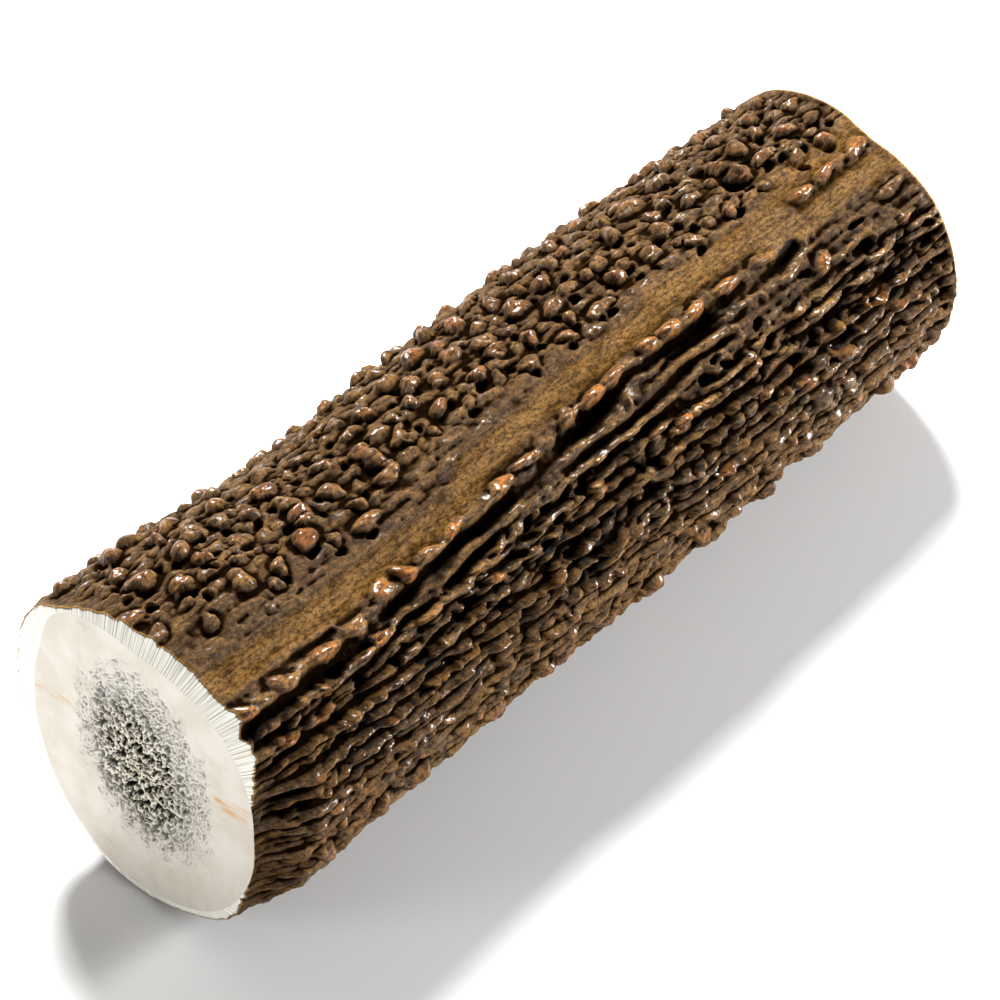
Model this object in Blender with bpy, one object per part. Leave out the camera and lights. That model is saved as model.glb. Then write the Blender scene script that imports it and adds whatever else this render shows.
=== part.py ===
"""A sawn length of red deer antler beam, lying on its side.

The beam lies along X with its near sawn end at -X, and rests on Z = 0. The blender units are metres.
Relief is worked out in millimetres along the beam, from the near end, and degrees round it: 0 is the
top, 90 is the -Y side, 180 is the underside and -90 is the +Y side.
"""

import bmesh
import bpy
import numpy as np
from mathutils import Matrix

MM = 0.001

# The beam
LENGTH = 120.0
RADII = (21.1, 19.7, 19.2, 19.1, 19.0, 18.3, 17.9)  # at even steps from the near end to the far end
OVAL, OVAL_SIDE, OVAL_ENDS_AT = 1.3, -4.0, 90.0  # the near end is wider along one direction
# Dips beside the near face: depth, side, half angle and reach
DIPS = ((3.1, 97, 50, 8), (1.9, -8, 55, 14), (1.4, 152, 38, 9))
MEAN_RADIUS = 19.5
ARC = MEAN_RADIUS * np.pi / 180  # millimetres of skin for one degree round the beam
AXIS_LIFT = 0.4  # how far the underside's mean surface stays above what the beam lies on

# The sawn ends: the outline of each face as (degrees round, radius), and how steep the filed bevel is
NEAR_FACE = (
    (-165, 19.8), (-140, 17.6), (-115, 15.7), (-85, 15.1), (-58, 16.3), (-35, 19.6), (-20, 19.2),
    (0, 17.4), (20, 17.7), (38, 18.3), (60, 17.7), (90, 16.6), (120, 17.5), (150, 19.1), (180, 19.6),
)
FAR_FACE = (
    (-150, 17.2), (-110, 16.9), (-70, 17.1), (-35, 17.4), (0, 16.7), (15, 15.6), (30, 16.6), (50, 17.5),
    (80, 17.3), (110, 17.3), (145, 17.0), (180, 17.2),
)
NEAR_BEVEL, FAR_BEVEL = 2.4, 1.1  # radial millimetres for each millimetre along
BEVEL_REACH = 8.0
SAW_SEGMENTS = 72
FILED_RELIEF, FILED_REACH = 0.3, 4.0  # the file left this share of the relief at the near rim

# The mesh
RINGS, COLUMNS = 200, 208
SPARE_END = 2.0
KEPT_SHARE = 0.1  # share of the fine triangles that the finished solid keeps

# Zones round the beam: pearls on the far shoulder and top, long ridges on the near side and below
PEARL_FROM, PEARL_TO = -142.0, 8.0
RIDGE_FROM, RIDGE_TO = 48.0, 214.0
ZONE_EDGE = 9.0
RIDGE_PITCH = 1.85
RIDGE_HEIGHT = 1.7
SIDE_RIDGE_SHARE = 0.66  # height of the ridges on the near side, against those above them
UNDER_RIDGE_SHARE = 0.5  # the same on the underside
GROUND_HEIGHT, GROUND_LEVEL = 0.6, -0.35  # lumps between the pearls
UNDULATION = 0.3

# Smooth channel between the pearls and the ridges: places along and round the beam
CHANNEL = ((-3, 30), (42, 30), (46, 23), (60, 21), (76, 20), (80, 18), (100, 18), (106, 10), (123, 10))
CHANNEL_HALF_WIDTH, CHANNEL_DEPTH = 1.9, 0.45
SECOND_CHANNEL = ((96, 27), (123, 26))
SECOND_HALF_WIDTH, SECOND_DEPTH = 1.9, 0.3

# Pearls: places (along, round) of the ones that stand out, by size
BIG_PEARL, MIDDLE_PEARL, KNOB = (3.3, 2.6, 1.0), (2.6, 2.1, 0.8), (4.2, 2.6, 1.1)  # length, width, height
BIG_PEARLS = (
    (6.5, -13), (12.5, -12), (16, -16), (25.5, 2), (26.5, -15), (31, 1), (30.5, 17), (13.5, 10),
    (23.5, 10), (38, 2), (46, -31), (49, -23), (55, -29), (62, -28), (50, -15), (56.5, -15),
    (72.5, -17), (67.5, -14), (84, -16), (90, -23), (102, -4), (106, -15), (106.5, -4), (60.5, -10),
    (96, -27), (17, -31), (9.5, -35), (37, 9),
)
MIDDLE_PEARLS = (
    (2, -5), (2, 6), (13, -5), (19.5, -15), (18.5, -4), (26, -5), (38, -4), (7, 14), (18.5, 12),
    (31.5, 11), (12.5, -38), (40.5, -23), (57.5, -24), (67.5, -26), (70.5, -23), (76, -23), (79, -24),
    (39.5, -14), (43, -17), (52.5, -9), (62.5, -19), (47, -8), (63.5, -8), (60, -4), (73, -7),
    (76.5, -7), (79, -8), (48.5, 0), (55.5, -1), (64, 0), (67.5, 8), (78.5, 1), (86.5, -26), (90, -29),
    (92.5, -15), (90, -12), (95, -8), (101.5, -13), (110, -17), (112, -8), (116, -6), (88, -4),
    (22, -9), (33, -9), (69.5, -4), (84, 2), (7, -24), (13, -24), (22, -24), (29, -25), (34, -20),
    (35, -31), (24, -34), (30, -38), (41, -38), (52, -39), (60, -38), (66, -36), (73, -33), (80, -34),
    (86, -38), (94, -38), (100, -34), (106, -27), (112, -26), (117, -18), (116, -34),
)
SCATTER_GAP = 3.9  # least distance between the pearls that fill what is left
SCATTER_TRIES = 2000

# Beads in a row above the deep groove, and loose ones among the ridges
BEAD_SIZE = (4.2, 1.9, 0.7)
BEAD_ROW = (
    (2, 41), (8.5, 41), (15, 41), (20.5, 40.5), (26, 36.5), (30, 37), (34, 37), (38.5, 35.5),
    (46.5, 34), (51, 32.5), (58.5, 30.5), (63.5, 30), (67, 29), (73.5, 27.5), (77, 28.5), (81.5, 29),
    (87.5, 28.5), (94, 28.5), (105, 18), (109.5, 17), (115.5, 16.5),
)
LOOSE_BEADS = (
    (4, 49), (22.5, 48), (68, 53), (72, 55.5), (58.5, 57), (94.5, 51), (101, 42), (108.5, 54), (115, 37),
    (57.5, 77), (70.5, 77), (78.5, 77), (76, 83), (112, 78), (14, 64), (6, 56.5), (11, 56.5), (91, 74),
    (98, 74), (105.5, 65), (30, 54), (40, 57), (84, 55), (33, 72), (48, 71), (84, 66), (20, 73),
)
EDGE_KNOBS = (
    (19, 115), (24.5, 114), (38, 116), (46, 113), (50, 117), (56.5, 114), (64.5, 116), (74, 113),
    (76, 118), (108, 115), (112, 112), (9, 112), (85, 116), (94, 114),
)

# Grooves and cracks: depth, half width, and the path
GROOVES = (
    (1.5, 0.8, ((-3, 46.5), (21, 46.5), (25, 44), (30, 43), (36, 40), (51, 40), (54, 38), (57, 35),
                (60, 36), (64, 35), (66, 32.5), (70, 33), (84, 33.5), (95, 34), (99, 31))),
    (1.0, 0.6, ((68, 39), (75, 36), (82, 37), (90, 39))),
    (1.0, 0.6, ((2, 51), (14, 53), (22, 53), (27, 50), (35, 49), (44, 46), (54, 44), (66, 44),
                (77, 42), (84, 43))),
    (0.9, 0.6, ((46, 51), (57, 50), (66, 50), (86, 51), (97, 49), (108, 47))),
    (1.0, 0.65, ((4, 59.5), (20, 61), (35, 60), (50, 63), (58, 60), (65, 58.5), (72, 59.5), (87, 62),
                 (96, 60), (106, 62), (118, 60))),
    (1.0, 0.65, ((12, 67), (30, 68), (48, 67), (58, 67), (66, 69.5))),
    (0.9, 0.6, ((-3, 69), (10, 69), (18, 73), (30, 72))),
    (1.0, 0.65, ((-3, 75), (8, 77), (24, 78), (40, 77), (46, 76), (61, 72), (70, 73), (84, 74))),
    (1.0, 0.6, ((78, 70), (99, 71), (107, 70), (118, 72))),
    (0.9, 0.6, ((2, 82), (10, 84), (24, 85), (40, 83), (58, 81), (74, 80), (92, 82), (108, 80))),
    (0.5, 0.45, ((-3, 37.5), (18, 37.5))),
    (1.0, 0.7, ((99.5, -17), (101, -9), (100, 0))),
)
PIT_SIZE = (2.2, 1.2, 0.9)
PITS = (
    (23, 58.5), (35, 57), (34, 61.5), (47, 54), (56, 53), (51.5, 55.5), (52, 69), (62, 71), (68.5, 71),
    (77, 70), (86.5, 57.5), (92, 58.5), (95, 62), (101, 58), (104, 59), (112, 57), (116, 62), (61, 32.5),
    (108, 39), (38, 64), (27, 65), (17, 57), (72, 64), (80, 46), (88, 45), (98, 42), (66, 63),
)
SEED = 27


def noise(along, round_, cell_along, cell_round, seed):
    """Smooth random values from -1 to 1 in cells of a size in millimetres, closed round the beam."""
    cells = max(3, int(round(360 * ARC / cell_round)))
    rows = int(LENGTH / cell_along) + 8
    lattice = np.random.default_rng(seed).uniform(-1, 1, (rows, cells))
    s = np.clip(along / cell_along + 3, 0, rows - 2)
    t = (round_ % 360) / 360 * cells
    i, j = np.floor(s).astype(int), np.floor(t).astype(int)
    fs, ft = s - i, t - j
    fs, ft = fs * fs * (3 - 2 * fs), ft * ft * (3 - 2 * ft)
    j, k = j % cells, (j + 1) % cells
    low = lattice[i, j] * (1 - ft) + lattice[i, k] * ft
    high = lattice[i + 1, j] * (1 - ft) + lattice[i + 1, k] * ft
    return low * (1 - fs) + high * fs


def rise(value, low, high):
    """0 below low, 1 above high, and a smooth step between."""
    t = np.clip((value - low) / (high - low), 0, 1)
    return t * t * (3 - 2 * t)


def turn(degrees):
    """The same direction, as an angle from -180 to 180."""
    return (degrees + 180) % 360 - 180


def zone(round_, start, end):
    """1 inside a band round the beam, falling to 0 over its edges."""
    middle, half = (start + end) / 2, (end - start) / 2
    return 1 - rise(np.abs(turn(round_ - middle)), half - ZONE_EDGE / 2, half + ZONE_EDGE / 2)


def distance_to_path(along, round_, path):
    """Distance in millimetres from each point to a line of (along, round) corners."""
    nearest = np.full(along.shape, 1e3)
    for (a0, r0), (a1, r1) in zip(path, path[1:]):
        across = turn(round_ - r0) * ARC
        span = np.array((a1 - a0, turn(r1 - r0) * ARC))
        t = np.clip(((along - a0) * span[0] + across * span[1]) / (span @ span), 0, 1)
        nearest = np.minimum(nearest, np.hypot(along - a0 - t * span[0], across - t * span[1]))
    return nearest


def domes(along, round_, spots, size, seed):
    """Height of a crowd of oval domes, each of its own size, tilt and uneven outline."""
    rng = np.random.default_rng(seed)
    height = np.zeros(along.shape)
    for a, r in spots:
        length, width, tall = np.array(size) * rng.uniform(0.8, 1.2, 3)
        tilt, first, second = rng.normal(0, 0.35), rng.uniform(0, 6), rng.uniform(0, 6)
        da, dr = along - a, turn(round_ - r) * ARC
        near = (np.abs(da) < length) & (np.abs(dr) < length)
        p = (da[near] * np.cos(tilt) + dr[near] * np.sin(tilt)) / (length / 2)
        q = (dr[near] * np.cos(tilt) - da[near] * np.sin(tilt)) / (width / 2)
        angle = np.arctan2(q, p)
        away = np.hypot(p, q) / (1 + 0.1 * np.sin(2 * angle + first) + 0.09 * np.sin(3 * angle + second))
        dome = tall * np.clip(1 - away * away, 0, 1)
        height[near] = np.maximum(height[near], dome)
    return height


def scattered(taken, start, end, gap, seed):
    """Places for more spots between two angles, clear of the ones there are."""
    rng = np.random.default_rng(seed)
    places = list(taken)
    for _ in range(SCATTER_TRIES):
        a, r = rng.uniform(3, LENGTH - 2), rng.uniform(start, end)
        gaps = [np.hypot(a - b, turn(r - s) * ARC) for b, s in places]
        if min(gaps) > gap:
            places.append((a, r))
    return places[len(taken):]


def valleys(along, round_, cell_along, cell_round, seed):
    """Rounded lumps from 0 to 1 with sharp valleys where they meet."""
    return np.abs(noise(along, round_, cell_along, cell_round, seed)) ** 0.6


def ridge_field(along, round_):
    """Long ridges that wander, join and break into beads, with sharp valleys between them."""
    wander = 1.2 * noise(along, round_, 24, 9, SEED + 1) + 0.35 * noise(along, round_, 7.5, 4, SEED + 2)
    crest = np.abs(np.sin(np.pi * ((round_ % 360) * ARC + wander) / RIDGE_PITCH)) ** 0.7
    lumps = valleys(along, round_, 8.0, 1.7, SEED + 3)
    return 0.5 * crest + 0.65 * lumps - 0.6


def relief(along, round_):
    """Height of the skin over the plain beam, in millimetres."""
    round_ = turn(round_)
    around = round_ % 360
    bent_along = along + 0.4 * noise(along, round_, 3.0, 2.0, SEED + 7)
    bent_round = round_ + 0.16 / ARC * noise(along, round_, 3.0, 2.0, SEED + 8)

    share = 1 - (1 - SIDE_RIDGE_SHARE) * rise(around, 84, 100)
    share -= (SIDE_RIDGE_SHARE - UNDER_RIDGE_SHARE) * rise(around, 135, 165)
    height = RIDGE_HEIGHT * share * zone(round_, RIDGE_FROM, RIDGE_TO) * ridge_field(bent_along, bent_round)
    ground = GROUND_HEIGHT * (valleys(bent_along, bent_round, 4.2, 2.1, SEED + 12) - 0.5)
    height += zone(round_, PEARL_FROM, PEARL_TO) * (GROUND_LEVEL + ground)
    height += UNDULATION * noise(along, round_, 11, 8, SEED + 4)

    for depth, half_width, path in GROOVES:
        width = half_width * (1 + 0.45 * noise(along, round_, 3, 3, SEED + 14))
        away = distance_to_path(bent_along, bent_round, path) / width
        uneven = np.clip(0.75 + 1.0 * noise(along, round_, 4.5, 4, SEED + 6), 0.1, 1.35)
        height += 0.2 * depth * np.exp(-((away - 1.9) ** 2) * 2) - depth * uneven * np.exp(-away * away)

    for path, half_width, depth in (
        (CHANNEL, CHANNEL_HALF_WIDTH, CHANNEL_DEPTH),
        (SECOND_CHANNEL, SECOND_HALF_WIDTH, SECOND_DEPTH),
    ):
        inside = np.exp(-((distance_to_path(along, bent_round, path) / half_width) ** 4))
        height = height * (1 - 0.8 * inside) - depth * inside

    row = np.zeros(along.shape)
    for path in (BEAD_ROW[:-3], BEAD_ROW[-3:]):
        away = distance_to_path(bent_along, bent_round, path) / 1.0
        row = np.maximum(row, (0.6 + 0.6 * noise(along, round_, 4, 3, SEED + 15)) * np.exp(-away * away))
    height += 0.6 * row

    fill = scattered(BIG_PEARLS + MIDDLE_PEARLS, PEARL_FROM, PEARL_TO, SCATTER_GAP, SEED)
    crowds = (
        (BIG_PEARLS, BIG_PEARL), (MIDDLE_PEARLS, MIDDLE_PEARL), (fill, MIDDLE_PEARL), (EDGE_KNOBS, KNOB),
    )
    raised = domes(bent_along, bent_round, BEAD_ROW + LOOSE_BEADS, BEAD_SIZE, SEED + 30)
    for seed, (spots, size) in enumerate(crowds, SEED + 31):
        raised = np.maximum(raised, domes(bent_along, bent_round, spots, size, seed))
    pits = domes(bent_along, bent_round, PITS, PIT_SIZE, SEED + 40)
    return height + raised - pits


def plain_radius(along, round_):
    """Radius of the beam under its relief: a taper, an oval near end, and dips beside the near face."""
    radius = np.interp(along, np.linspace(0, LENGTH, len(RADII)), RADII)
    oval = OVAL * np.clip(1 - along / OVAL_ENDS_AT, 0, 1)
    radius = radius + oval * np.cos(2 * np.radians(round_ - OVAL_SIDE))
    for depth, side, half_angle, reach in DIPS:
        share = 1 - rise(np.abs(turn(round_ - side)), 0.3 * half_angle, half_angle)
        radius = radius - depth * share * (1 - rise(along, 0, reach))
    return radius


def face_radius(round_, outline):
    """Radius of a sawn face's outline at each angle, its corners rounded off."""
    angles, radii = zip(*outline)
    steps = (-6, -3, 0, 3, 6)
    return sum(np.interp(turn(round_ + step), angles, radii, period=360) for step in steps) / len(steps)


def axis_height(along):
    """Height of the beam's middle over what it lies on, so that its underside is level."""
    return plain_radius(along, np.full(np.shape(along), 180.0)) + AXIS_LIFT


def to_space(along, round_, radius):
    """Points in metres, from places along and round the beam and a distance from its middle."""
    angle = np.radians(round_)
    y = -radius * np.sin(angle)
    z = np.maximum(axis_height(along) + radius * np.cos(angle), 0)
    return np.stack((along - LENGTH / 2, y, z), axis=-1) * MM


def make_material(name, colour, roughness):
    material = bpy.data.materials.new(name)
    material.use_nodes = True
    shader = material.node_tree.nodes["Principled BSDF"]
    shader.inputs["Base Color"].default_value = (*colour, 1)
    shader.inputs["Roughness"].default_value = roughness
    shader.inputs["Metallic"].default_value = 0.0
    return material


def make_beam(collection, material):
    """The whole beam with its relief, a little longer than the sawn piece."""
    bm = bmesh.new()
    depth = (LENGTH + 2 * SPARE_END) * MM
    along_x = Matrix.Rotation(np.pi / 2, 4, "Y")
    bmesh.ops.create_cone(
        bm, cap_ends=True, segments=COLUMNS, radius1=MM, radius2=MM, depth=depth, matrix=along_x
    )
    lengthwise = [e for e in bm.edges if abs(e.verts[0].co.x - e.verts[1].co.x) > depth / 2]
    bmesh.ops.subdivide_edges(bm, edges=lengthwise, cuts=RINGS - 1, use_grid_fill=True)
    mesh = bpy.data.meshes.new("antler_beam")
    bm.to_mesh(mesh)
    bm.free()

    points = np.empty(len(mesh.vertices) * 3)
    mesh.vertices.foreach_get("co", points)
    points = points.reshape(-1, 3)
    along = points[:, 0] / MM + LENGTH / 2
    round_ = np.degrees(np.arctan2(-points[:, 1], points[:, 2]))
    filed = (1 - FILED_RELIEF) * (1 - rise(along, 0, FILED_REACH))
    radius = plain_radius(along, round_) + relief(along, round_) * (1 - filed)
    mesh.vertices.foreach_set("co", to_space(along, round_, radius).ravel())
    mesh.materials.append(material)
    mesh.shade_smooth()

    beam = bpy.data.objects.new("antler_beam", mesh)
    collection.objects.link(beam)
    lighter = beam.modifiers.new("fewer faces", "DECIMATE")
    lighter.ratio = KEPT_SHARE
    return beam


def make_saw_form(name, collection, material, end, outline, bevel):
    """What the saw and the file leave at one end: a flat face of that outline, and a bevel round it."""
    far = end > 0
    reaches = (0, BEVEL_REACH, LENGTH + 2 * SPARE_END)
    bm = bmesh.new()
    along_x = Matrix.Rotation(np.pi / 2, 4, "Y")
    bmesh.ops.create_cone(
        bm, cap_ends=True, segments=SAW_SEGMENTS, radius1=1, radius2=1, depth=2, matrix=along_x
    )
    lengthwise = [e for e in bm.edges if abs(e.verts[0].co.x - e.verts[1].co.x) > 1]
    bmesh.ops.subdivide_edges(bm, edges=lengthwise, cuts=1, use_grid_fill=True)
    height = float(axis_height(np.array([float(end)]))[0])
    for vert in bm.verts:
        step = round(vert.co.x)
        reach = reaches[1 - step if far else 1 + step]
        angle = np.arctan2(-vert.co.y, vert.co.z)
        radius = face_radius(np.degrees(angle), outline) + bevel * min(reach, BEVEL_REACH)
        x = end - reach if far else end + reach
        y, z = -radius * np.sin(angle), height + radius * np.cos(angle)
        vert.co = ((x - LENGTH / 2) * MM, y * MM, z * MM)
    mesh = bpy.data.meshes.new(name)
    bm.to_mesh(mesh)
    bm.free()
    mesh.materials.append(material)
    form = bpy.data.objects.new(name, mesh)
    collection.objects.link(form)
    form.hide_render = True
    form.display_type = "WIRE"
    return form


def saw(beam, form):
    cut = beam.modifiers.new(form.name, "BOOLEAN")
    cut.operation = "INTERSECT"
    cut.solver = "EXACT"
    cut.material_mode = "TRANSFER"
    cut.object = form


for old in list(bpy.data.objects):
    bpy.data.objects.remove(old, do_unlink=True)

part = bpy.data.collections.new("red_deer_antler")
cutters = bpy.data.collections.new("cutters")
bpy.context.scene.collection.children.link(part)
bpy.context.scene.collection.children.link(cutters)

bark = make_material("antler_bark", (0.16, 0.085, 0.04), 0.5)
sawn_bone = make_material("sawn_bone", (0.8, 0.76, 0.66), 0.55)
antler = make_beam(part, bark)
near_form = make_saw_form("near_saw_form", cutters, sawn_bone, 0, NEAR_FACE, NEAR_BEVEL)
far_form = make_saw_form("far_saw_form", cutters, sawn_bone, LENGTH, FAR_FACE, FAR_BEVEL)
saw(antler, near_form)
saw(antler, far_form)
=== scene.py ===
"""The looks of a sawn length of red deer antler beam: skin relief, bevelled rims and porous sawn faces.

Lengths in the relief are millimetres along the beam from its near end, and degrees round it: 0 is the
top, 90 is the -Y side, 180 is the underside and -90 is the +Y side. MM turns them into metres.
"""

import math

import bpy
import numpy as np
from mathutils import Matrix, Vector


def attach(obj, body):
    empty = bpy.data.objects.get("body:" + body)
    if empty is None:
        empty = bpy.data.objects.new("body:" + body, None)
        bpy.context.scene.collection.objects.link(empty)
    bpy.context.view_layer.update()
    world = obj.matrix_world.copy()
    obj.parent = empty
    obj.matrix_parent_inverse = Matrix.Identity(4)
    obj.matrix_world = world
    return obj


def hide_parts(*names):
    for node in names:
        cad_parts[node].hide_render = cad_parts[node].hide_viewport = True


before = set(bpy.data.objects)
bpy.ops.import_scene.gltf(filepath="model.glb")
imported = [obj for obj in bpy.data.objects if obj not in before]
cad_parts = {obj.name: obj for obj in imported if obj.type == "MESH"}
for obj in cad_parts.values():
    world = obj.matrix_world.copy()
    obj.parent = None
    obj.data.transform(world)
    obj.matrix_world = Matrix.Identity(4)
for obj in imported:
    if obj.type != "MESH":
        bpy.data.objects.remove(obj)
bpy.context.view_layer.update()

MM = 0.001

# The beam, as in the solid
LENGTH = 120.0
RADII = (21.1, 19.7, 19.2, 19.1, 19.0, 18.3, 17.9)
OVAL, OVAL_SIDE, OVAL_ENDS_AT = 1.3, -4.0, 90.0
DIPS = ((3.1, 97, 50, 8), (1.9, -8, 55, 14), (1.4, 152, 38, 9))
FILED_RELIEF, NEAR_FILED_REACH, FAR_FILED_REACH = 0.3, 4.0, 2.5
MEAN_RADIUS = 19.5
ARC = MEAN_RADIUS * np.pi / 180
AXIS_LIFT = 0.4

# The sawn ends: the outline of each face as (degrees round, radius), and how steep the filed bevel is
NEAR_FACE = (
    (-165, 19.8), (-140, 17.6), (-115, 15.7), (-85, 15.1), (-58, 16.3), (-35, 19.6), (-20, 19.2),
    (0, 17.4), (20, 17.7), (38, 18.3), (60, 17.7), (90, 16.6), (120, 17.5), (150, 19.1), (180, 19.6),
)
FAR_FACE = (
    (-150, 17.2), (-110, 16.9), (-70, 17.1), (-35, 17.4), (0, 16.7), (15, 15.6), (30, 16.6), (50, 17.5),
    (80, 17.3), (110, 17.3), (145, 17.0), (180, 17.2),
)
NEAR_BEVEL, FAR_BEVEL = 2.4, 1.1  # radial millimetres for each millimetre along

# Zones round the beam
PEARL_FROM, PEARL_TO = -142.0, 8.0
RIDGE_FROM, RIDGE_TO = 48.0, 214.0
ZONE_EDGE = 9.0
RIDGE_PITCH = 1.85
RIDGE_HEIGHT = 1.7
SIDE_RIDGE_SHARE = 0.66
UNDER_RIDGE_SHARE = 0.5
SIDE_FROM, UNDER_FROM = (84, 100), (135, 165)
VALLEY_POWER = 0.6
GROUND_HEIGHT, GROUND_LEVEL = 1.0, -0.35
UNDULATION = 0.3
FIBRE_HEIGHT, WRINKLE_HEIGHT, GRAIN_HEIGHT = 0.2, 0.12, 0.1
EDGE_GROUND, EDGE_TO = 0.45, 50.0

# Cells of the noise that shapes the skin, as (along, round), and how far it bends the places of things
BEND_CELL, BEND_ALONG, BEND_ROUND = (3.0, 2.0), 0.4, 0.16
WIDE_WANDER_CELL, WIDE_WANDER = (24, 9), 1.2
FINE_WANDER_CELL, FINE_WANDER = (7.5, 4), 0.35
LUMP_CELL, SMALL_LUMP_CELL = (8.0, 1.7), (2.4, 0.9)
CREST_SHARE, LUMP_SHARE, SMALL_LUMP_SHARE, FIELD_MIDDLE = 0.5, 0.65, 0.6, 0.95
GROUND_CELL, SMALL_GROUND_CELL, SMALL_GROUND_SHARE = (4.2, 2.1), (1.9, 1.2), 0.4
UNDULATION_CELL, WRINKLE_CELL, FIBRE_CELL, GRAIN_CELL = (11, 8), (1.1, 0.7), (5.0, 0.5), (0.55, 0.5)

CHANNEL = ((-3, 30), (42, 30), (46, 23), (60, 21), (76, 20), (80, 18), (100, 18), (106, 10), (123, 10))
CHANNEL_HALF_WIDTH, CHANNEL_DEPTH, CHANNEL_SMOOTHING = 1.9, 0.45, 0.8
SECOND_CHANNEL = ((96, 27), (123, 26))
SECOND_HALF_WIDTH, SECOND_DEPTH = 1.9, 0.3

# Sizes of bumps and pits are (length, width, height)
BIG_PEARL, MIDDLE_PEARL, SMALL_PEARL = (3.3, 2.6, 1.0), (2.6, 2.1, 0.78), (1.8, 1.5, 0.4)
KNOB = (4.2, 2.6, 1.1)
BIG_PEARLS = (
    (6.5, -13), (12.5, -12), (16, -16), (25.5, 2), (26.5, -15), (31, 1), (30.5, 17), (13.5, 10),
    (23.5, 10), (38, 2), (46, -31), (49, -23), (55, -29), (62, -28), (50, -15), (56.5, -15),
    (72.5, -17), (67.5, -14), (84, -16), (90, -23), (102, -4), (106, -15), (106.5, -4), (60.5, -10),
    (96, -27), (17, -31), (9.5, -35), (37, 9),
)
MIDDLE_PEARLS = (
    (2, -5), (2, 6), (13, -5), (19.5, -15), (18.5, -4), (26, -5), (38, -4), (7, 14), (18.5, 12),
    (31.5, 11), (12.5, -38), (40.5, -23), (57.5, -24), (67.5, -26), (70.5, -23), (76, -23), (79, -24),
    (39.5, -14), (43, -17), (52.5, -9), (62.5, -19), (47, -8), (63.5, -8), (60, -4), (73, -7),
    (76.5, -7), (79, -8), (48.5, 0), (55.5, -1), (64, 0), (67.5, 8), (78.5, 1), (86.5, -26), (90, -29),
    (92.5, -15), (90, -12), (95, -8), (101.5, -13), (110, -17), (112, -8), (116, -6), (88, -4),
    (22, -9), (33, -9), (69.5, -4), (84, 2), (7, -24), (13, -24), (22, -24), (29, -25), (34, -20),
    (35, -31), (24, -34), (30, -38), (41, -38), (52, -39), (60, -38), (66, -36), (73, -33), (80, -34),
    (86, -38), (94, -38), (100, -34), (106, -27), (112, -26), (117, -18), (116, -34),
)
SMALL_PEARLS = (
    (16.5, 16), (26, 15), (46, 6), (52, 5), (43.5, -7), (74.5, 7), (93, 5), (98, 5), (7, 4), (20, 5),
    (57, 5), (70, 3), (88, 4), (81, -3), (43, 3), (34, 5), (99, -8), (9, -2), (29, -5), (114, 0),
)
SCATTER_GAP, CLOSE_GAP = 3.9, 3.2
SCATTER_TRIES = 2000
SIZE_SPREAD, TILT_SPREAD, OUTLINE_WAVES = (0.8, 1.2), 0.35, (0.1, 0.09)
DOME_POWER, CREST_POWER = 0.65, 0.7
MOAT_DEPTH, MOAT_AT, MOAT_HALF_WIDTH = 0.22, 1.25, 0.3  # the last two in half sizes of the bump
HOLE_SIZE, HOLE_GAP = (1.5, 1.1, 0.9), 1.75
SHADE_HOLE, SHADE_HOLE_ALONG, SHADE_HOLE_ROUND = (1.9, 1.2, 0.9), -0.6, 4.6
LITTLE_BEAD, LITTLE_BEAD_GAP = (2.6, 1.3, 0.6), 3.0
LITTLE_PIT, LITTLE_PIT_GAP = (2.4, 1.3, 1.4), 2.9
BUSY_TO = 112.0
DARK_BAND = (RIDGE_FROM - 5, 88)

BEAD_SIZE = (4.2, 1.9, 0.7)
BEAD_ROW = (
    (2, 41), (8.5, 41), (15, 41), (20.5, 40.5), (26, 36.5), (30, 37), (34, 37), (38.5, 35.5),
    (46.5, 34), (51, 32.5), (58.5, 30.5), (63.5, 30), (67, 29), (73.5, 27.5), (77, 28.5), (81.5, 29),
    (87.5, 28.5), (94, 28.5), (105, 18), (109.5, 17), (115.5, 16.5),
)
FAR_ROW_COUNT = 3  # beads at the end of the list that make a row of their own
ROW_HEIGHT, ROW_HALF_WIDTH, ROW_CELL = 0.6, 1.0, (4, 3)
LOOSE_BEADS = (
    (4, 49), (22.5, 48), (68, 53), (72, 55.5), (58.5, 57), (94.5, 51), (101, 42), (108.5, 54), (115, 37),
    (57.5, 77), (70.5, 77), (78.5, 77), (76, 83), (112, 78), (14, 64), (6, 56.5), (11, 56.5), (91, 74),
    (98, 74), (105.5, 65), (30, 54), (40, 57), (84, 55), (33, 72), (48, 71), (84, 66), (20, 73),
)
EDGE_KNOBS = (
    (19, 115), (24.5, 114), (38, 116), (46, 113), (50, 117), (56.5, 114), (64.5, 116), (74, 113),
    (76, 118), (108, 115), (112, 112), (9, 112), (85, 116), (94, 114),
)

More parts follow.
